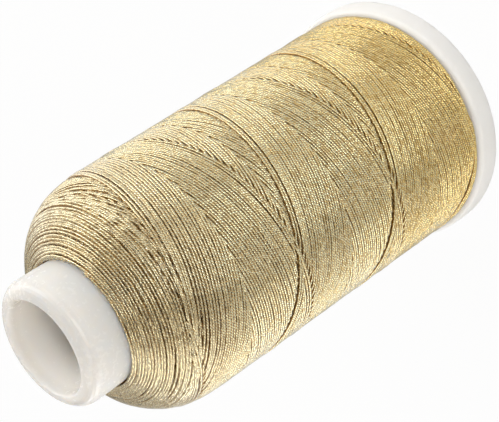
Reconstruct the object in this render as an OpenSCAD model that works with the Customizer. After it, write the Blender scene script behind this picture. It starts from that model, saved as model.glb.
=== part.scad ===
// King spool of metallic embroidery thread, standing on its base flange.
// The origin is the centre of the flange's underside, and +Z runs up the axis to the neck.
// A hollow barrel is pressed on to a ribbed flange, and the thread is wound on the barrel: the
// inner layers are one solid, and over them lies one unbroken band of threads laid side by side.

/* [Barrel] */
// Height of the whole spool, from the flange's underside to the top of the lip
spool_h = 116; // [112:1:120]
// Outer diameter of the neck, which stands clear of the thread
neck_d = 28.6; // [27.6:0.2:30]
// Diameter of the spindle bore, the same in the neck and in the flange
bore_d = 21; // [19:0.5:21.5]
// Length of the bore inside the neck
neck_bore_h = 13; // [10:1:16]
// Outer diameter of the barrel where it stands on the flange
barrel_foot_d = 34; // [33:0.5:37]
// Wall thickness of the barrel
barrel_wall = 1.7; // [1.4:0.1:2]
// Radius of the lip's rounded outer edge
lip_r = 3.2; // [2.4:0.1:3.4]
// Depth of the eased edge where the lip turns down into the bore
mouth_ease_h = 1.5; // [1:0.1:2]

/* [Base flange] */
// Outer diameter of the flange
flange_d = 62; // [60:0.5:66]
// Height of the flange's rim
rim_h = 6; // [5.5:0.1:7]
// Wall thickness of the rim
rim_wall = 1.6; // [1.4:0.1:2.2]
// Radius of the rim's rounded top edge
rim_edge_r = 1.4; // [1:0.1:1.5]
// Rounding of the rim's bottom edge
rim_foot_r = 0.5; // [0.3:0.1:0.6]
// Thickness of the plate that the thread sits on
plate_t = 2.2; // [2:0.1:2.6]
// Number of stiffening ribs under the plate
rib_count = 12; // [8:1:16]
// Thickness of each rib
rib_t = 1.1; // [0.8:0.1:1.4]
// Wall thickness of the flange's two hub rings
hub_wall = 1.5; // [1.2:0.1:1.8]
// Height of the hub rings above the plate
hub_h = 9; // [7:0.5:12]
// Diameter of the ring that ties the ribs together
tie_ring_d = 45; // [42:1:50]

/* [Thread] */
// Diameter of the thread package where it meets the flange
package_foot_d = 59; // [57:0.5:60]
// Diameter of the thread package at the start of its shoulder
package_top_d = 54.2; // [52:0.2:58]
// Height at which the shoulder starts to curve in
shoulder_z = 83; // [78:1:88]
// Height at which the thread meets the neck
package_z = 106.4; // [102:0.2:108]
// How long the shoulder stays full before it curves in
shoulder_fullness = 3.9; // [3:0.1:5]
// How steeply the shoulder then falls to the neck
shoulder_fall = 1.2; // [1:0.1:2]
// Diameter of the thread
thread_d = 0.7; // [0.6:0.05:0.9]
// Turns of the outer band of threads, from the flange to the neck
band_turns = 23.5; // [16:0.5:23.5]
// Clear groove between one turn of the band and the next
band_gap = 0.5; // [0.45:0.05:1]
// Thickness of the band at its crown
band_h = 1.5; // [1.2:0.1:1.8]

/* [Hidden] */
$fn = 96;

bore_r = bore_d / 2;
neck_r = neck_d / 2;
flange_r = flange_d / 2;
neck_step_z = spool_h - mouth_ease_h - neck_bore_h;  // where the bore opens out below the neck
neck_step_h = 2.5;  // height over which it opens out
barrel_foot_in_r = barrel_foot_d / 2 - barrel_wall;
plate_z = rim_h - plate_t;
rib_lift = 0.8;  // the ribs stop this far short of the surface that the spool stands on
sleeve_lift = 0.4;
rim_draft = 0.25;
spigot_grip_h = 3;  // height over which the spigot fits the barrel
spigot_lead = 0.6;  // taper at the top of the spigot, which guides the barrel on to it
join = 0.2;  // depth to which the ribs and rings run into the plate
past = 1;  // distance by which a cutting shape runs past what it cuts
arc_steps = 8;
foot_steps = 4;

rings_per_turn = 24;
band_sides = 6;
chord_sag = package_foot_d / 2 * (1 - cos(180 / rings_per_turn));
band_clear = 0.1;  // least clear distance from the band to the core, at the middle of a chord
band_rest = band_h / 2 + chord_sag + band_clear;  // height of the band's centre line off the core
core_inset = band_rest + band_h / 2;
shoulder_steps = 30;
edge_clear = 0.4;  // clear distance from the band's first and last turns to the flange and the neck
taper_turns = 0.2;  // turns in which the band narrows at each end to a single thread
end_bend_r = 0.8;  // radius of the bend from each end into the turns
bend_steps = 4;

// Points of an arc round c, from angle a to angle b, with radii rx and ry
function arc(c, rx, ry, a, b, steps = arc_steps) =
    [for (i = [0:steps]) let (t = a + (b - a) * i / steps) c + [rx * cos(t), ry * sin(t)]];

// Outline of the wound package as [radius, height], drawn in by inset all over
function side_r(z, inset) =
    (package_foot_d + (package_top_d - package_foot_d) * (z - rim_h) / (shoulder_z - rim_h)) / 2 - inset;
function shoulder_at(a, inset) =
    let (z = shoulder_z + (package_z - inset - shoulder_z) * pow(sin(a), 2 / shoulder_fullness))
    [neck_r + (side_r(z, inset) - neck_r) * pow(cos(a), 2 / shoulder_fall), z];
function package_line(inset) = concat(
    [[side_r(rim_h, inset), rim_h]],
    [for (i = [0:shoulder_steps]) shoulder_at(90 * i / shoulder_steps, inset)]);

// The core's outline again, measured by the distance travelled along it
core_line = package_line(core_inset);
core_way = [for (i = 0, s = 0; i < len(core_line);
    s = i < len(core_line) - 1 ? s + norm(core_line[i + 1] - core_line[i]) : s, i = i + 1) s];
core_r_table = [for (i = [0:len(core_way) - 1]) [core_way[i], core_line[i].x]];
core_z_table = [for (i = [0:len(core_way) - 1]) [core_way[i], core_line[i].y]];
function core_at(s) = [lookup(s, core_r_table), lookup(s, core_z_table)];
function unit(v) = v / norm(v);
function core_up(s) = unit(core_at(s + 1) - core_at(s - 1));

// The band: how far along the core its centre line lies after so many turns
core_way_end = core_way[len(core_way) - 1];
way_per_turn = (core_way_end - 2 * edge_clear + band_gap) / (band_turns + 1);
band_w = way_per_turn - band_gap;
function band_way(turn) = edge_clear + band_w / 2 + way_per_turn * turn;

// Directions at one turn: along the core's outline, off its surface, and round the axis
function spin(v, turn) = [v.x * cos(360 * turn), v.x * sin(360 * turn), v.y];
function up_dir(turn) = spin(core_up(band_way(turn)), turn);
function off_dir(turn) = let (u = core_up(band_way(turn))) spin([u.y, -u.x], turn);
function round_dir(turn) = [-sin(360 * turn), cos(360 * turn), 0];
function band_point(turn, lift) = spin(core_at(band_way(turn)), turn) + lift * off_dir(turn);

// Each end is one thread that comes square out of the core, runs straight, and bends round into the turns
function end_points(turn, side) =
    let (base = band_point(turn, 0), out = off_dir(turn), way = side * round_dir(turn),
         straight = max(band_rest - end_bend_r, thread_d))
    concat([base, base + straight * out],
        [for (i = [1:bend_steps]) let (a = 90 * i / bend_steps)
            base + (straight + end_bend_r * sin(a)) * out + end_bend_r * (1 - cos(a)) * way]);
function reversed(list) = [for (i = [len(list) - 1:-1:0]) list[i]];

turn_at = [for (i = [1:band_turns * rings_per_turn - 1]) i / rings_per_turn];
first_end = end_points(0, 1);
last_end = reversed(end_points(band_turns, -1));
band_path = concat(first_end, [for (t = turn_at) band_point(t, band_rest)], last_end);
band_up = concat([for (p = first_end) up_dir(0)], [for (t = turn_at) up_dir(t)],
    [for (p = last_end) up_dir(band_turns)]);

// Share of the band's full section at each ring: 0 on the single thread of its ends, 1 along the turns
function ease(t) = let (c = min(1, max(0, t))) c * c * (3 - 2 * c);
band_share = concat([for (p = first_end) 0],
    [for (t = turn_at) ease(min(t, band_turns - t) / taper_turns)], [for (p = last_end) 0]);

// Least clear distance between the band and itself half a turn or more apart, at rings and halfway
gap_points = [for (i = [0:len(band_path) - 2]) each [band_path[i], (band_path[i] + band_path[i + 1]) / 2]];
least_gap = min([for (i = [0:len(gap_points) - 1], j = [i + rings_per_turn:len(gap_points) - 1])
    norm(gap_points[i] - gap_points[j])]) - band_w;

module ring(r_out, r_in, z_low, z_high) {
    rotate_extrude() polygon([[r_in, z_low], [r_out, z_low], [r_out, z_high], [r_in, z_high]]);
}

// Hollow moulded tube: plain tapered wall under the thread, thicker neck with a rounded lip
module spool_barrel() {
    lip_c = [neck_r - lip_r, spool_h - lip_r];
    ease_w = neck_r - lip_r - bore_r;
    ease_c = [bore_r + ease_w, spool_h - mouth_ease_h];
    step_a = 90 / arc_steps;
    color([0.94, 0.93, 0.91]) rotate_extrude() polygon(concat(
        [[barrel_foot_in_r, rim_h], [barrel_foot_d / 2, rim_h], [neck_r, neck_step_z - neck_step_h]],
        arc(lip_c, lip_r, lip_r, 0, 90),
        arc(ease_c, ease_w, mouth_ease_h, 90 + step_a, 180, arc_steps - 1),
        [[bore_r, neck_step_z], [neck_r - barrel_wall, neck_step_z - neck_step_h]]));
}

// Rim and plate in one revolved section, open underneath
module flange_shell() {
    edge_c = [flange_r - rim_draft - rim_edge_r, rim_h - rim_edge_r];
    foot_c = [flange_r - rim_foot_r, rim_foot_r];
    rotate_extrude() polygon(concat(
        [[flange_r - rim_wall, 0]],
        arc(foot_c, rim_foot_r, rim_foot_r, -90, 0, foot_steps),
        arc(edge_c, rim_edge_r, rim_edge_r, 0, 90),
        [[bore_r, rim_h], [bore_r, plate_z], [flange_r - rim_wall - rim_draft, plate_z]]));
}

// Ribs that run from the sleeve to the rim under the plate
module flange_ribs() {
    rib_from = bore_r + hub_wall / 2;
    rib_to = flange_r - rim_wall / 2;
    for (i = [0:rib_count - 1]) {
        rotate(360 * (i + 0.5) / rib_count)
            translate([rib_from, -rib_t / 2, rib_lift])
                cube([rib_to - rib_from, rib_t, plate_z - rib_lift + join]);
    }
}

// Separate foot: rim, plate, ribs, a sleeve for the spindle and a spigot that grips the barrel
module base_flange() {
    color([0.96, 0.96, 0.95]) union() {
        flange_shell();
        flange_ribs();
        ring(bore_r + hub_wall, bore_r, sleeve_lift, rim_h + hub_h);
        ring((tie_ring_d + rib_t) / 2, (tie_ring_d - rib_t) / 2, rib_lift, plate_z + join);
        rotate_extrude() polygon([
            [barrel_foot_in_r - hub_wall, rim_h - join], [barrel_foot_in_r, rim_h - join],
            [barrel_foot_in_r, rim_h + spigot_grip_h], [barrel_foot_in_r - spigot_lead, rim_h + hub_h],
            [barrel_foot_in_r - hub_wall, rim_h + hub_h]]);
    }
}

// All the layers of thread below the outer band, closed round the barrel
module thread_core() {
    color([0.62, 0.52, 0.30]) difference() {
        rotate_extrude() polygon(concat([[neck_r - barrel_wall, rim_h]], core_line,
            [[neck_r - barrel_wall, package_z - core_inset]]));
        rotate_extrude() polygon([
            [0, rim_h - past], [barrel_foot_d / 2, rim_h - past], [barrel_foot_d / 2, rim_h],
            [neck_r, neck_step_z - neck_step_h], [neck_r, package_z + past], [0, package_z + past]]);
    }
}

// One unbroken band of threads laid side by side, crowned across, wound from the flange to the neck
module outer_winding() {
    last = len(band_path) - 1;
    flat_a = 60;  // angle of the section's upper corners, at which it has its full thickness
    function tangent(i) = unit(band_path[min(i + 1, last)] - band_path[max(i - 1, 0)]);
    function corner(k, share) =
        let (a = 360 * k / band_sides, w = thread_d + (band_w - thread_d) * share,
             h = thread_d + (band_h - thread_d) * share)
        [w * cos(a), h * sin(a) / sin(flat_a)] / 2;
    points = [for (i = [0:last])
        let (t = tangent(i), u = unit(band_up[i] - (band_up[i] * t) * t), w = cross(t, u))
        for (k = [0:band_sides - 1])
            let (c = corner(k, band_share[i])) band_path[i] + c.x * u + c.y * w];
    walls = [for (i = [0:last - 1], k = [0:band_sides - 1])
        let (a = i * band_sides + k, b = i * band_sides + (k + 1) % band_sides)
        each [[a, a + band_sides, b + band_sides], [a, b + band_sides, b]]];
    first_cap = [for (k = [1:band_sides - 2]) [0, k, k + 1]];
    last_cap = [for (k = [1:band_sides - 2]) last * band_sides * [1, 1, 1] + [0, k + 1, k]];
    echo(band_width = band_w, least_gap = least_gap, triangles = len(walls) + 2 * len(first_cap));
    color([0.80, 0.70, 0.43]) polyhedron(points, concat(walls, first_cap, last_cap), convexity = 10);
}

spool_barrel();
base_flange();
thread_core();
outer_winding();
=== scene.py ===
import math

import bpy
import numpy as np
from mathutils import Matrix, Vector


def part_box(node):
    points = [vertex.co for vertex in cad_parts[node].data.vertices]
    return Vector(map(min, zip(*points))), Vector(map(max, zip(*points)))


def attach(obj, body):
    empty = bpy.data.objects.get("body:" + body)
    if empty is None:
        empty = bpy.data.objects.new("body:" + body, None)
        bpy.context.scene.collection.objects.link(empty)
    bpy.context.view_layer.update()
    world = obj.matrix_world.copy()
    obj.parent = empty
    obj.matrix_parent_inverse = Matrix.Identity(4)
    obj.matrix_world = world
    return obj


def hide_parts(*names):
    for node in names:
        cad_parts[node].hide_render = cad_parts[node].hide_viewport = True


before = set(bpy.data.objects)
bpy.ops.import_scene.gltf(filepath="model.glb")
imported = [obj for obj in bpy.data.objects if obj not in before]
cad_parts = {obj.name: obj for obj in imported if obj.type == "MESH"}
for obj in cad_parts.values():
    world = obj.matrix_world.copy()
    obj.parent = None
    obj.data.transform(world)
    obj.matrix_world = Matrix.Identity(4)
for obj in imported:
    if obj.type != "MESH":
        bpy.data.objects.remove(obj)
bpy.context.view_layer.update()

# ---------------------------------------------------------------------------------------------
# Spool barrel and base flange
# Two white polypropylene mouldings. The barrel is a hollow tapered tube, of which only the neck
# and its rounded lip stay bare, and the flange is a separate ribbed foot pressed on to it.
# Both keep the satin of a polished mould, with faint flow marks and handling scuffs; the barrel's lip is
# greyed with painted shade.
# ---------------------------------------------------------------------------------------------
MM = 0.001
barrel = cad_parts["spool_barrel"]
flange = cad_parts["base_flange"]

barrel_white = (0.78, 0.775, 0.76, 1)
barrel_shade = (0.765, 0.755, 0.735, 1)     # in the flow marks
barrel_rough = 0.26
barrel_soak = 0.010                         # how deep light soaks into the wall, in metres,
barrel_spread = (1.0, 0.85, 0.7)            # and how much of it in red, green and blue
flange_white = (0.95, 0.93, 0.905, 1)
flange_shade = (0.93, 0.91, 0.885, 1)
flange_rough = 0.30
flange_soak = 0.003
flange_spread = (1.0, 0.97, 0.94)
lip_shade = (0.65, 0.64, 0.625, 1)             # painted shade that greys the lip
lip_shade_share = 0.6
lip_shade_fade = 0.0015                        # metres in which the painted shade sets in
lip_shade_height = 0.1130                    # height above which the barrel is greyed by painted shade, in metres
never_lip_shaded = 1.0                          # a height above the whole spool, so no painted shade
flow_scale = 25.0                           # noise scales of the flow marks,
scuff_scale = 900.0                         # the scuffs
grain_scale = 2600.0                        # and the mould's grain
flow_tint = (0.35, 0.7)                     # noise at which the marks start and are full: in colour,
flow_gloss = (0.3, 0.7)                     # in gloss,
scuff_gloss = (0.5, 0.75)                   # and for the scuffs
flow_rough = (-0.01, 0.02)                  # what the flow marks and a scuff add to the roughness
scuff_rough = 0.02
relief_strength = 0.02
relief_depth = 0.00003                      # metres


def new_material(name):
    material = bpy.data.materials.new(name)
    material.use_nodes = True
    return material, material.node_tree, material.node_tree.nodes["Principled BSDF"]


def add(tree, kind, **settings):
    node = tree.nodes.new(kind)
    for key, value in settings.items():
        setattr(node, key, value)
    return node


def feed(tree, node, sockets):
    """Sets a node's inputs: a number or tuple is a fixed value, an output socket is a link."""
    for key, value in sockets.items():
        if isinstance(value, bpy.types.NodeSocket):
            tree.links.new(value, node.inputs[key])
        else:
            node.inputs[key].default_value = value
    return node


def noise(tree, coords, scale, detail=2.0, rough=0.55):
    node = feed(tree, add(tree, "ShaderNodeTexNoise"),
                {"Vector": coords, "Scale": scale, "Detail": detail, "Roughness": rough})
    return node.outputs["Fac"]


def remap(tree, value, low, high, to_low=0.0, to_high=1.0):
    node = feed(tree, add(tree, "ShaderNodeMapRange"),
                {"Value": value, "From Min": low, "From Max": high, "To Min": to_low, "To Max": to_high})
    return node.outputs["Result"]


def math_node(tree, operation, a, b=0.0):
    node = feed(tree, add(tree, "ShaderNodeMath", operation=operation), {0: a, 1: b})
    return node.outputs[0]


def split(tree, vector):
    """The three parts of a vector or a colour."""
    return feed(tree, add(tree, "ShaderNodeSeparateXYZ"), {0: vector}).outputs


def mix_colour(tree, share, a, b):
    node = add(tree, "ShaderNodeMix", data_type="RGBA")
    feed(tree, node, {0: share, 6: a, 7: b})
    return node.outputs[2]


def moulded_plastic(name, colour, shade, roughness, soak, spread, lip_shade_start):
    material, tree, shader = new_material(name)
    coords = add(tree, "ShaderNodeTexCoord").outputs["Object"]
    flow = noise(tree, coords, flow_scale)
    scuffs = noise(tree, coords, scuff_scale, rough=0.7)
    grain = noise(tree, coords, grain_scale, rough=0.6)
    height = split(tree, coords)[2]
    tint = mix_colour(tree, remap(tree, flow, *flow_tint), colour, shade)
    # painted shade: greys the barrel above the lip's height
    lip_shaded = remap(tree, height, lip_shade_start, lip_shade_start + lip_shade_fade, 0.0, lip_shade_share)
    tint = mix_colour(tree, lip_shaded, tint, lip_shade)
    flowed = remap(tree, flow, *flow_gloss, roughness + flow_rough[0], roughness + flow_rough[1])
    rough = math_node(tree, "ADD", flowed, remap(tree, scuffs, *scuff_gloss, 0.0, scuff_rough))
    relief = math_node(tree, "ADD", flow, grain)
    bump = feed(tree, add(tree, "ShaderNodeBump"),
                {"Height": relief, "Strength": relief_strength, "Distance": relief_depth})
    feed(tree, shader, {"Base Color": tint, "Roughness": rough, "Normal": bump.outputs["Normal"],
                        "Subsurface Weight": 1.0, "Subsurface Radius": spread,
                        "Subsurface Scale": soak, "IOR": 1.49, "Specular IOR Level": 0.5})
    return material


def dress(obj, material):
    obj.data.materials.clear()
    obj.data.materials.append(material)


barrel_plastic = moulded_plastic("barrel_plastic", barrel_white, barrel_shade, barrel_rough,
                                 barrel_soak, barrel_spread, lip_shade_height)
flange_plastic = moulded_plastic("flange_plastic", flange_white, flange_shade, flange_rough,
                                 flange_soak, flange_spread, never_lip_shaded)
dress(barrel, barrel_plastic)
dress(flange, flange_plastic)

# ---------------------------------------------------------------------------------------------
# Inner layers of thread
# The deep layers that fill the spool from barrel to skin. Only glimpses show in the gaps between
# the outer turns, so they are one body of the package's own form, drawn in under the skin, its gold thread
# darkened by painted shade.
# ---------------------------------------------------------------------------------------------
rim_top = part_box("thread_core")[0].z / MM       # the rest of the thread is worked out in millimetres
barrel_foot_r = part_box("spool_barrel")[1].x / MM
neck_r = 14.3
package_foot_r = 29.5
package_top_r = 27.1
shoulder_z = 83.0           # where the straight taper ends
package_z = 106.4           # where the thread meets the neck
shoulder_fullness = 3.9     # how square the shoulder is
shoulder_fall = 1.2         # and how late it falls in towards the neck
thread_d = 0.66

taper_points = 40
shoulder_points = 200
way_points = 800
slope_blur = 31             # points over which the outline's direction is evened

inner_depth = 2.3 * thread_d
inner_points = 90
inner_segments = 128
inner_clear_neck = 0.15     # gaps that keep the inner layers off the neck, the flange and the barrel
inner_clear_rim = 0.1
inner_lift = 0.05
inner_clear_barrel = 0.1

# the inner thread's colours: gold thread darkened by painted shade, as in the shadow of the outer turns
inner_shade_deep = (0.18, 0.09, 0.02, 1)
inner_shade_pale = (0.42, 0.25, 0.07, 1)
inner_bands = 430.0         # wave scale of the turns drawn on the inner layers
inner_relief = 0.0003       # metres


def package_outline():
    """The wound package's outline as radius and height, from the flange to the neck."""
    z = np.linspace(rim_top, shoulder_z, taper_points)[:-1]
    a = np.linspace(0, math.pi / 2, shoulder_points)
    shoulder = shoulder_z + (package_z - shoulder_z) * np.sin(a) ** (2 / shoulder_fullness)
    z_all = np.concatenate([z, shoulder])
    side = package_foot_r + (package_top_r - package_foot_r) * (z_all - rim_top) / (shoulder_z - rim_top)
    fall = np.concatenate([np.ones(len(z)), np.cos(a) ** (2 / shoulder_fall)])
    return neck_r + (side - neck_r) * fall, z_all


outline_r, outline_z = package_outline()
outline_way = np.concatenate([[0], np.cumsum(np.hypot(np.diff(outline_r), np.diff(outline_z)))])
way_end = outline_way[-1]
way_grid = np.linspace(0, way_end, way_points)
grid_r = np.interp(way_grid, outline_way, outline_r)
grid_z = np.interp(way_grid, outline_way, outline_z)


def blur(values, width):
    kernel = np.hanning(width)
    padded = np.pad(values, width // 2, mode="edge")
    return np.convolve(padded, kernel / kernel.sum(), mode="valid")[:len(values)]


slope_r = blur(np.gradient(grid_r, way_grid), slope_blur)
slope_z = blur(np.gradient(grid_z, way_grid), slope_blur)
slope_size = np.hypot(slope_r, slope_z)
off_r, off_z = slope_z / slope_size, -slope_r / slope_size


def outline_at(way, depth):
    """Radius and height in millimetres at a distance along the outline and a depth under the skin."""
    r = np.interp(way, way_grid, grid_r) - depth * np.interp(way, way_grid, off_r)
    z = np.interp(way, way_grid, grid_z) - depth * np.interp(way, way_grid, off_z)
    return r, z


def mesh_object(name, points, quads, extra=()):
    mesh = bpy.data.meshes.new(name)
    mesh.vertices.add(len(points))
    mesh.vertices.foreach_set("co", np.asarray(points, np.float32).ravel())
    sizes = [4] * len(quads) + [len(f) for f in extra]
    corners = np.concatenate([np.asarray(quads, np.int32).ravel()]
                             + [np.asarray(f, np.int32) for f in extra])
    mesh.loops.add(len(corners))
    mesh.loops.foreach_set("vertex_index", corners)
    mesh.polygons.add(len(sizes))
    starts = np.concatenate([[0], np.cumsum(sizes)[:-1]])
    mesh.polygons.foreach_set("loop_start", np.asarray(starts, np.int32))
    mesh.polygons.foreach_set("use_smooth", np.ones(len(sizes), bool))
    mesh.update(calc_edges=True)
    obj = bpy.data.objects.new(name, mesh)
    bpy.context.scene.collection.objects.link(obj)
    return obj


def revolve(name, profile, segments):
    """A closed ring-shaped solid from a closed profile of [radius, height] points in millimetres."""
    profile = np.asarray(profile)
    count = len(profile)
    angle = np.arange(segments) * 2 * math.pi / segments
    points = np.stack([np.outer(np.cos(angle), profile[:, 0]), np.outer(np.sin(angle), profile[:, 0]),
                       np.tile(profile[:, 1], (segments, 1))], -1).reshape(-1, 3) * MM
    i, k = np.meshgrid(np.arange(segments), np.arange(count), indexing="ij")
    j, m = (i + 1) % segments, (k + 1) % count
    quads = np.stack([i * count + k, j * count + k, j * count + m, i * count + m], -1).reshape(-1, 4)
    return mesh_object(name, points, quads)


inner_r, inner_z = outline_at(np.linspace(0, way_end, inner_points), inner_depth)
keep = (inner_r > neck_r + inner_clear_neck) & (inner_z > rim_top + inner_clear_rim)
inner_foot = rim_top + inner_lift
inner_profile = ([(barrel_foot_r + inner_clear_barrel, inner_foot),
                  (package_foot_r - inner_depth, inner_foot)]
                 + list(zip(inner_r[keep], inner_z[keep]))
                 + [(neck_r + inner_clear_barrel, inner_z[keep][-1])])
inner_layers = revolve("inner_layers", inner_profile, inner_segments)

inner_thread_shaded, tree, shader = new_material("inner_thread_shaded")
coords = add(tree, "ShaderNodeTexCoord").outputs["Object"]
bands = feed(tree, add(tree, "ShaderNodeTexWave", bands_direction="Z"),
             {"Vector": coords, "Scale": inner_bands, "Distortion": 1.5, "Detail": 2.0}).outputs["Fac"]
bump = feed(tree, add(tree, "ShaderNodeBump"), {"Height": bands, "Strength": 0.6, "Distance": inner_relief})
feed(tree, shader, {"Base Color": mix_colour(tree, bands, inner_shade_deep, inner_shade_pale), "Roughness": 0.6,
                    "Metallic": 0.3, "Normal": bump.outputs["Normal"]})
dress(inner_layers, inner_thread_shaded)
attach(inner_layers, "root")
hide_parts("thread_core")

# ---------------------------------------------------------------------------------------------
# Outer layer of thread
# One strand, wound crosswise by a traversing guide: each pass climbs about a third of the package in
# a turn, and each new pass lies beside the last of its own direction and over all that went before
# it. So the two directions show by turns, in bands, with dark seams where the newest turns stop.
# ---------------------------------------------------------------------------------------------
climb = 31.65           # millimetres along the outline in one turn of the spool
passes = 46             # double passes that close the layer
way_reverse = 94.4      # where the guide turns back, on the shoulder
double_turns = 6        # whole turns in one pass up and back; a strand's width more shifts the next one
way_start = way_reverse - climb * (double_turns + 1 / passes) / 2
seam_angle = math.radians(-12.0)
reverse_soft = 0.13     # turns in which the strand slows and turns back at each end
turn_length = 170.0     # millimetres of strand in one turn, about
thread_r = thread_d / 2 * MM
rings_per_turn = 96
strand_sides = 6

under_depth = 0.8 * thread_d
cross_soft = 0.028      # share of a crossing cell in which a strand dips under or climbs over
cross_dip = 0.12        # depth of the groove where one direction takes over from the other
newest_shift = (0.05, 0.15, 0.38, 0.20, 0.18)     # the last strands to be wound crowd and part,
newest_lift = (0.0, 0.03, 0.12, 0.08, 0.10)       # and ride high

# How a strand wanders: by how many millimetres, and in how many millimetres of its length
side_wander = (0.035, 14.0)
depth_wander = (0.02, 10.0)
twist_wander = (1.0, 25.0)
thickness_wander = (0.03, 8.0)      # here the first is a share of the thickness
golden_step = 0.618     # keeps the twists of neighbouring strands out of step
reach_spread = 0.6      # how unevenly the passes reach up the shoulder, and where that sets in
reach_from = 86.0
reach_over = 8.0
clear_foot = 0.45       # least distances from the flange and from the neck
clear_neck = 0.4
side_seed, reach_seed, depth_seed, thickness_seed = 1000, 3000, 5000, 9000

inner_strand_depth = 1.75 * thread_d
inner_side_wander = (0.10, 14.0)
inner_depth_wander = (0.05, 10.0)
inner_coarser = 0.6     # share of the rings that these hidden strands have
inner_offset = 0.4      # strand widths between these passes and the outer ones
inner_clear_ends = (0.5, 0.6)
inner_side_seed, inner_depth_seed, inner_twist_seed = 7000, 7100, 7200

films = 3               # gilt films side by side round the core
film_step = 0.58        # millimetres of strand from one film's edge to the next
film_rise = (0.15, 0.75)        # where a film leaves the gap and is at its full, as the sine across it
film_relief = 0.00003   # metres
facet_swing = 0.32      # how far a film's mirror leans across the strand,
facet_pitch = 0.07      # and along it
groove_shade_from = 0.25      # where painted shade darkens the film into the groove between strands, as the cosine of the way round from the crown
groove_shade_to = 0.75        # way round from the crown
film_chance = (0.1, 0.6)        # films drawn below the first are dull, and above the second bright
dullest = 0.2
dull_rough = 0.36
bright_rough = 0.18
blotch_scale = 45.0
blotch_edge = (0.35, 0.65)
blotch_share = 0.25

gold = (0.72, 0.53, 0.17, 1)        # a dull film
pale = (0.89, 0.88, 0.57, 1)        # a bright one
deep = (0.58, 0.35, 0.06, 1)        # dull films in the blotches, and low on the package
rich = (1.0, 0.80, 0.27, 1)         # bright films low on the package, richer in colour
upper_tone = (0.77, 0.75, 0.54, 1)        # films high on the package, paler and greyer
shoulder_shade = (0.62, 0.54, 0.35, 1)        # painted shade that darkens the films on the shoulder
core_and_groove_shade = (0.38, 0.20, 0.03, 1)    # the core between films, and painted shade in the groove between strands

# Heights in metres between which each tone fades in or out, and its share at the full end
deep_zone, deep_share = (0.0, 0.06), 0.6
rich_zone, rich_share = (0.0, 0.05), 0.9
upper_zone, upper_share = (0.03, 0.09), 0.45
shoulder_shade_zone, shoulder_shade_share = (0.085, 0.095), 0.4


def vector_node(tree, operation, a, b=(0, 0, 0), scale=1.0):
    node = feed(tree, add(tree, "ShaderNodeVectorMath", operation=operation), {0: a, 1: b, 3: scale})
    return node.outputs[0]


def metallic_thread(name):
    """Flat gilt film wound round a core. Each turn of film is a small mirror that follows the strand's
    round, with painted shade in the groove at its edges, so it glints across the strand and hardly along it."""
    material, tree, shader = new_material(name)
    way = split(tree, add(tree, "ShaderNodeUVMap", uv_map="thread_way").outputs["UV"])
    along, around = way[0], way[1]
    twist = math_node(tree, "ADD", math_node(tree, "DIVIDE", along, film_step),
                      math_node(tree, "MULTIPLY", around, films))
    strand = math_node(tree, "FLOOR", around)
    facet = math_node(tree, "FLOOR", twist)
    in_facet = math_node(tree, "SUBTRACT", twist, facet)
    cell = feed(tree, add(tree, "ShaderNodeCombineXYZ"), {0: facet, 1: strand}).outputs[0]
    chance = feed(tree, add(tree, "ShaderNodeTexWhiteNoise", noise_dimensions="3D"), {"Vector": cell})
    lean = split(tree, chance.outputs["Color"])
    bright = remap(tree, chance.outputs["Value"], *film_chance, dullest, 1.0)

    coords = add(tree, "ShaderNodeTexCoord").outputs["Object"]
    height = split(tree, coords)[2]
    blotch = noise(tree, coords, blotch_scale, detail=3.0)
    body = mix_colour(tree, remap(tree, blotch, *blotch_edge, 0.0, blotch_share), gold, deep)
    body = mix_colour(tree, remap(tree, height, *deep_zone, deep_share, 0.0), body, deep)
    film = mix_colour(tree, remap(tree, height, *rich_zone, rich_share, 0.0), pale, rich)
    film = mix_colour(tree, bright, body, film)
    film = mix_colour(tree, remap(tree, height, *upper_zone, 0.0, upper_share), film, upper_tone)
    # painted shade on the shoulder
    film = mix_colour(tree, remap(tree, height, *shoulder_shade_zone, 0.0, shoulder_shade_share), film, shoulder_shade)

    across_film = math_node(tree, "SINE", math_node(tree, "MULTIPLY", in_facet, math.pi))
    ridge = remap(tree, across_film, *film_rise)
    round_strand = math_node(tree, "COSINE", math_node(tree, "MULTIPLY", around, 2 * math.pi))
    crown_not_shaded = remap(tree, round_strand, groove_shade_from, groove_shade_to)
    # the core shows between films, and painted shade darkens the grooves between strands
    colour = mix_colour(tree, math_node(tree, "MULTIPLY", ridge, crown_not_shaded), core_and_groove_shade, film)

    bump = feed(tree, add(tree, "ShaderNodeBump"),
                {"Height": ridge, "Strength": 1.0, "Distance": film_relief})
    normal = bump.outputs["Normal"]
    tangent = add(tree, "ShaderNodeTangent", direction_type="UV_MAP", uv_map="thread_way").outputs[0]
    across = vector_node(tree, "CROSS_PRODUCT", tangent, normal)
    swing = remap(tree, lean[0], 0.0, 1.0, -facet_swing, facet_swing)
    pitch = remap(tree, lean[1], 0.0, 1.0, -facet_pitch, facet_pitch)
    normal = vector_node(tree, "ADD", normal, vector_node(tree, "SCALE", across, scale=swing))
    normal = vector_node(tree, "ADD", normal, vector_node(tree, "SCALE", tangent, scale=pitch))
    normal = vector_node(tree, "NORMALIZE", normal)
    rough = remap(tree, bright, 0.0, 1.0, dull_rough, bright_rough)
    feed(tree, shader, {"Base Color": colour, "Roughness": rough, "Metallic": 1.0, "Normal": normal,
                        "IOR": 1.5, "Coat Weight": 1.0, "Coat Roughness": 0.22, "Coat IOR": 1.6})
    return material


gold_thread = metallic_thread("gold_thread")


def on_package(way, angle, depth):
    """Points in metres at a distance along the outline, an angle in radians and a depth under the skin."""
    r, z = outline_at(way, depth)
    return np.stack([r * np.cos(angle), r * np.sin(angle), z], -1) * MM


def outward(way, angle):
    r, z = np.interp(way, way_grid, off_r), np.interp(way, way_grid, off_z)
    return np.stack([r * np.cos(angle), r * np.sin(angle), z], -1)


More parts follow.
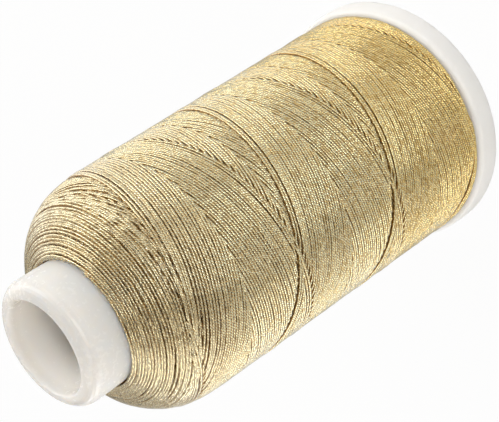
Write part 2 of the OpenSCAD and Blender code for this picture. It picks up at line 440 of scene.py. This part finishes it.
def soft_abs(x, soft):
    """The size of x, with the corner at 0 rounded off."""
    return np.where(np.abs(x) < soft, (x * x + soft * soft) / (2 * soft), np.abs(x))


def ease(t):
    return t * t * (3 - 2 * t)


def step(x, soft):
    """0 below 0 and 1 above it, with a smooth change between."""
    return ease(np.clip(x / soft + 0.5, 0, 1))


def wander(length, size, reach, seed):
    """Wander of a strand along its length, as it leaves the guide under uneven pull."""
    local = np.random.default_rng(seed)
    knots = np.arange(length[0] - reach, length[-1] + 3 * reach, reach)
    marks = local.normal(size=len(knots))
    cell = np.clip(((length - knots[0]) / reach).astype(int), 0, len(knots) - 2)
    t = ease((length - knots[cell]) / reach)
    return size * (marks[cell] * (1 - t) + marks[cell + 1] * t)


def tube(strands):
    """Vertices, faces and thread coordinates (length, turn round the strand) of a set of strands.
    Each strand is (points, outward directions, thickness factors, seed of its twist)."""
    sides = strand_sides
    points, quads, caps, uv, first = [], [], [], [], 0
    for number, (path, out, size, seed) in enumerate(strands):
        count = len(path)
        along = np.gradient(path, axis=0)
        along /= np.linalg.norm(along, axis=1, keepdims=True)
        side = np.cross(along, out)
        side /= np.linalg.norm(side, axis=1, keepdims=True)
        up = np.cross(side, along)
        turn = np.arange(sides) * 2 * math.pi / sides
        ring = (path[:, None] + thread_r * size[:, None, None]
                * (np.cos(turn)[None, :, None] * up[:, None] + np.sin(turn)[None, :, None] * side[:, None]))
        points.append(ring.reshape(-1, 3))
        i, k = np.meshgrid(np.arange(count - 1), np.arange(sides), indexing="ij")
        m = (k + 1) % sides
        quads.append((first + np.stack([i * sides + k, i * sides + m,
                                        (i + 1) * sides + m, (i + 1) * sides + k], -1)).reshape(-1, 4))
        caps += [first + np.arange(sides)[::-1], first + (count - 1) * sides + np.arange(sides)]
        length = np.concatenate([[0], np.cumsum(np.linalg.norm(np.diff(path, axis=0), axis=1))]) / MM
        length = length + wander(length, *twist_wander, seed) + seed * golden_step
        u0, u1 = length[i], length[i + 1]
        v0, v1 = number + k / sides, number + (k + 1) / sides
        uv.append(np.stack([np.stack([u0, v0], -1), np.stack([u0, v1], -1),
                            np.stack([u1, v1], -1), np.stack([u1, v0], -1)], -2).reshape(-1, 2))
        first += count * sides
    cap_uv = np.zeros((len(caps) * sides, 2))
    return np.concatenate(points), np.concatenate(quads), caps, np.concatenate(uv + [cap_uv])


def strand_object(name, strands):
    points, quads, caps, uv = tube(strands)
    obj = mesh_object(name, points, quads, caps)
    layer = obj.data.uv_layers.new(name="thread_way")
    layer.data.foreach_set("uv", uv.astype(np.float32).ravel())
    dress(obj, gold_thread)
    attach(obj, "root")
    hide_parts("outer_winding")


def pass_strand(number, going_up):
    """One pass of the strand: its path, outward directions, thickness and seed."""
    half_turns = double_turns / 2 + 0.5 / passes
    turn = np.linspace(0, half_turns, int(half_turns * rings_per_turn) + 1)
    start_turn = way_start / climb + number / passes
    eased = (soft_abs(turn, reverse_soft) - soft_abs(turn - half_turns, reverse_soft) + half_turns) / 2
    if going_up:
        way = way_start + climb * eased
        angle = seam_angle + 2 * math.pi * (start_turn + turn)
    else:
        way = way_reverse - climb * eased
        angle = seam_angle + 2 * math.pi * (start_turn + half_turns + turn)

    # The strand lies over the crossing ones that were wound before it, and under the rest
    straight_turn = (angle - seam_angle) / (2 * math.pi)
    own = (number + 0.5) / passes
    if going_up:
        other = np.mod(straight_turn + way / climb - 2 * way_reverse / climb, 1)
    else:
        other = np.mod(straight_turn - way / climb, 1)
    over = np.maximum(step(own - other, cross_soft) * step(other, cross_soft), step(other - 1, cross_soft))
    dip = cross_dip * np.exp(-((own - other) / cross_soft) ** 2)

    back = number - passes + len(newest_shift)
    shift, lift = (newest_shift[back], newest_lift[back]) if back >= 0 else (0.0, 0.0)
    seed = 2 * number + going_up
    length = turn * turn_length
    sideways = (shift if going_up else -shift) + wander(length, *side_wander, side_seed + seed)
    reach_on = reach_spread * np.random.default_rng(reach_seed + number).normal()
    sideways = sideways + reach_on * np.clip((way - reach_from) / reach_over, 0, 1) ** 2
    way = np.clip(way + sideways, clear_foot, way_end - clear_neck)
    depth = thread_d / 2 + under_depth * (1 - over) + dip - lift * over
    depth = depth + wander(length, *depth_wander, depth_seed + seed)
    size = 1 + wander(length, *thickness_wander, thickness_seed + seed)
    return on_package(way, angle, depth), outward(way, angle), size, seed


def inner_strand(number):
    """One pass of the layer before the outer one, which shows in the outer layer's gaps."""
    half_turns = way_reverse / climb
    turn = np.linspace(0, half_turns, int(half_turns * rings_per_turn * inner_coarser))
    length = turn * turn_length
    way = climb * turn + wander(length, *inner_side_wander, inner_side_seed + number)
    way = np.clip(way, inner_clear_ends[0], way_end - inner_clear_ends[1])
    angle = 2 * math.pi * (turn + (number + inner_offset) / passes)
    depth = inner_strand_depth + wander(length, *inner_depth_wander, inner_depth_seed + number)
    return on_package(way, angle, depth), outward(way, angle), np.ones(len(turn)), inner_twist_seed + number


strand_object("inner_passes", [inner_strand(n) for n in range(passes)])
strand_object("outer_passes_up", [pass_strand(n, True) for n in range(passes)])
strand_object("outer_passes_down", [pass_strand(n, False) for n in range(passes)])

# ---------------------------------------------------------------------------------------------
# Shoulder turns
# Where earlier layers turned back, beyond the outer one: nearly level turns that lie loose on the
# rounded shoulder, bunch and part, and leave dark gaps down to the neck.
# ---------------------------------------------------------------------------------------------
level_turn_length = 130.0       # millimetres of strand in one turn, about
level_wander = (0.08, 11.0)
level_waver = (0.04, 4.0)
level_depth_wander = (0.05, 7.0)
level_clear_ends = (0.38, 0.40)
least_depth = 0.45 * thread_d
near_skin = 0.5 * thread_d
sway_angle = 0.26               # turns the sag to its side of the spool, in radians
sway_fade = 14.0                # millimetres from the last turn in which the sag dies out


def level_turns(way_from, way_to, spacing, sink, seed, bunch, sway=0.0):
    """Nearly level turns from one place on the outline to another. sink lists the way and depth of the
    two places between which they come out from under the other thread. bunch says how unevenly they
    lie, and sway by how many millimetres they sag on one side."""
    turns_total = (way_to - way_from) / spacing
    turn = np.linspace(0, turns_total, int(turns_total * rings_per_turn))
    local = np.random.default_rng(seed)
    length = turn * level_turn_length
    steps = np.cumsum(1 + bunch * local.normal(size=int(turns_total) + 3))
    way = way_from + spacing * np.interp(turn, np.arange(len(steps)), steps - steps[0])
    way = way_from + (way - way_from) * (way_to - way_from) / (way[-1] - way_from)
    angle = 2 * math.pi * (turn + local.random())
    way = way - sway * np.sin(angle + sway_angle) * np.clip((way_to - way) / sway_fade, 0, 1)
    way = way + wander(length, *level_wander, seed) + wander(length, *level_waver, seed + 1)
    way = np.clip(way, level_clear_ends[0], way_end - level_clear_ends[1])
    (way_in, depth_in), (way_out, depth_out) = sink
    share = np.clip((way - way_in) / (way_out - way_in), 0, 1)
    depth = depth_in + (depth_out - depth_in) * ease(share)
    depth = np.maximum(depth + wander(length, *level_depth_wander, seed + 2), least_depth)
    size = 1 + wander(length, *thickness_wander, seed)
    return on_package(way, angle, depth), outward(way, angle), size, seed


# Three layers of turns: a loose one near the skin, and two below it that close its gaps
strand_object("shoulder_turns", [
    level_turns(84.0, way_end - 0.45, 0.64, ((86.0, 2.0 * thread_d), (93.5, near_skin)),
                seed=21, bunch=0.14, sway=1.4),
    level_turns(84.5, way_end - 0.55, 0.64, ((86.0, 2.5 * thread_d), (94.0, 0.75 * thread_d)),
                seed=22, bunch=0.10, sway=1.0),
    level_turns(87.0, way_end - 0.60, 0.66, ((88.0, 3.2 * thread_d), (95.0, 1.3 * thread_d)),
                seed=23, bunch=0.10, sway=0.6)])

# ---------------------------------------------------------------------------------------------
# Foot turns
# The few level turns on which the guide turned back above the flange. The lowest lie in the
# corner, against the flange's top face.
# ---------------------------------------------------------------------------------------------
strand_object("foot_turns", [
    level_turns(0.38, 5.0, 0.70, ((0.8, near_skin), (3.0, 1.9 * thread_d)), seed=31, bunch=0.05),
    level_turns(0.40, 5.0, 0.70, ((0.8, 1.4 * thread_d), (3.0, 2.6 * thread_d)), seed=32, bunch=0.05)])

# ---------------------------------------------------------------------------------------------
# Floor, light and camera
# A seamless white table in a room of soft panels: a low one in front of the spool, wide ones at its
# sides, and a few behind. The dim parts of the room between them are a little warmer.
# ---------------------------------------------------------------------------------------------
floor_size = 6.0
floor_white = (0.86, 0.86, 0.86, 1)
glow_to_camera = 0.95       # shares of an even white that the camera sees in the floor,
glow_to_gloss = 0.3         # and that shiny things see in it

# Panels of the room: bearing, height, half width and half height in degrees, and brightness
room_panels = ((-3, 23, 23, 6, 7.3), (37, 40, 11, 12, 2.6), (86, 28, 32, 11, 5.1), (135, 10, 22, 15, 2.7),
               (180, 22, 24, 14, 0.9), (-64, 44, 12, 10, 3.5), (-107, 1, 34, 9, 5.7), (-118, 44, 23, 8, 4.0))
panel_edge = 8
room_dim = 0.06
room_warm = (1.0, 0.94, 0.86, 1)
room_white = (1, 1, 1, 1)
warm_below, white_above = 1.0, 5.5

camera_place = Vector((0.21475, 0.0, 0.22138))
camera_aim = Vector((0.0, 0.00022, 0.05447))
camera_roll = math.radians(-123.54)
picture_w = 499
focal_px = 1200
sensor_w = 36.0

bpy.ops.mesh.primitive_plane_add(size=floor_size)
floor = bpy.context.object
floor.name = "floor"
table_white, tree, shader = new_material("table_white")
feed(tree, shader, {"Base Color": floor_white, "Roughness": 0.9})
ray = add(tree, "ShaderNodeLightPath").outputs
seen = math_node(tree, "MAXIMUM", ray["Is Camera Ray"], ray["Is Transmission Ray"])
seen = math_node(tree, "MAXIMUM", seen, ray["Is Glossy Ray"])
glow_share = math_node(tree, "MAXIMUM", math_node(tree, "MULTIPLY", ray["Is Camera Ray"], glow_to_camera),
                       math_node(tree, "MULTIPLY", seen, glow_to_gloss))
glow = feed(tree, add(tree, "ShaderNodeEmission"), {"Color": (1, 1, 1, 1), "Strength": 1.0})
blend = feed(tree, add(tree, "ShaderNodeMixShader"),
             {0: glow_share, 1: shader.outputs[0], 2: glow.outputs[0]})
tree.links.new(blend.outputs[0], tree.nodes["Material Output"].inputs["Surface"])
dress(floor, table_white)

world = bpy.data.worlds.new("pale_room")
bpy.context.scene.world = world
world.use_nodes = True
tree = world.node_tree
view = split(tree, add(tree, "ShaderNodeTexCoord").outputs["Generated"])
bearing = math_node(tree, "ARCTAN2", view[1], view[0])
rise = math_node(tree, "ARCSINE", view[2])


def in_panel(distance, half):
    """1 within a panel's half width or height, in degrees, and 0 outside it, with a soft edge."""
    edge, half = math.radians(panel_edge), math.radians(half)
    node = add(tree, "ShaderNodeMapRange", interpolation_type="SMOOTHSTEP")
    feed(tree, node, {"Value": distance, "From Min": half + edge, "From Max": half - edge})
    return node.outputs["Result"]


room = room_dim
for azimuth, height, half_width, half_height, level in room_panels:
    turned = math_node(tree, "COSINE", math_node(tree, "SUBTRACT", bearing, math.radians(azimuth)))
    round_off = math_node(tree, "ARCCOSINE", turned)
    rise_off = math_node(tree, "ABSOLUTE", math_node(tree, "SUBTRACT", rise, math.radians(height)))
    panel = math_node(tree, "MULTIPLY", in_panel(round_off, half_width), in_panel(rise_off, half_height))
    room = math_node(tree, "ADD", room, math_node(tree, "MULTIPLY", panel, level))
warmth = mix_colour(tree, remap(tree, room, warm_below, white_above), room_warm, room_white)
feed(tree, tree.nodes["Background"], {"Color": warmth, "Strength": room})

camera = bpy.data.objects.new("camera", bpy.data.cameras.new("camera"))
camera.data.sensor_width = sensor_w
camera.data.lens = focal_px * sensor_w / picture_w
camera.data.clip_start = 0.01
facing = (camera_aim - camera_place).to_track_quat("-Z", "Y").to_matrix()
rolled = (facing @ Matrix.Rotation(camera_roll, 3, "Z")).to_4x4()
camera.matrix_world = Matrix.Translation(camera_place) @ rolled
bpy.context.scene.collection.objects.link(camera)
bpy.context.scene.camera = camera
bpy.context.scene.view_settings.view_transform = "Standard"
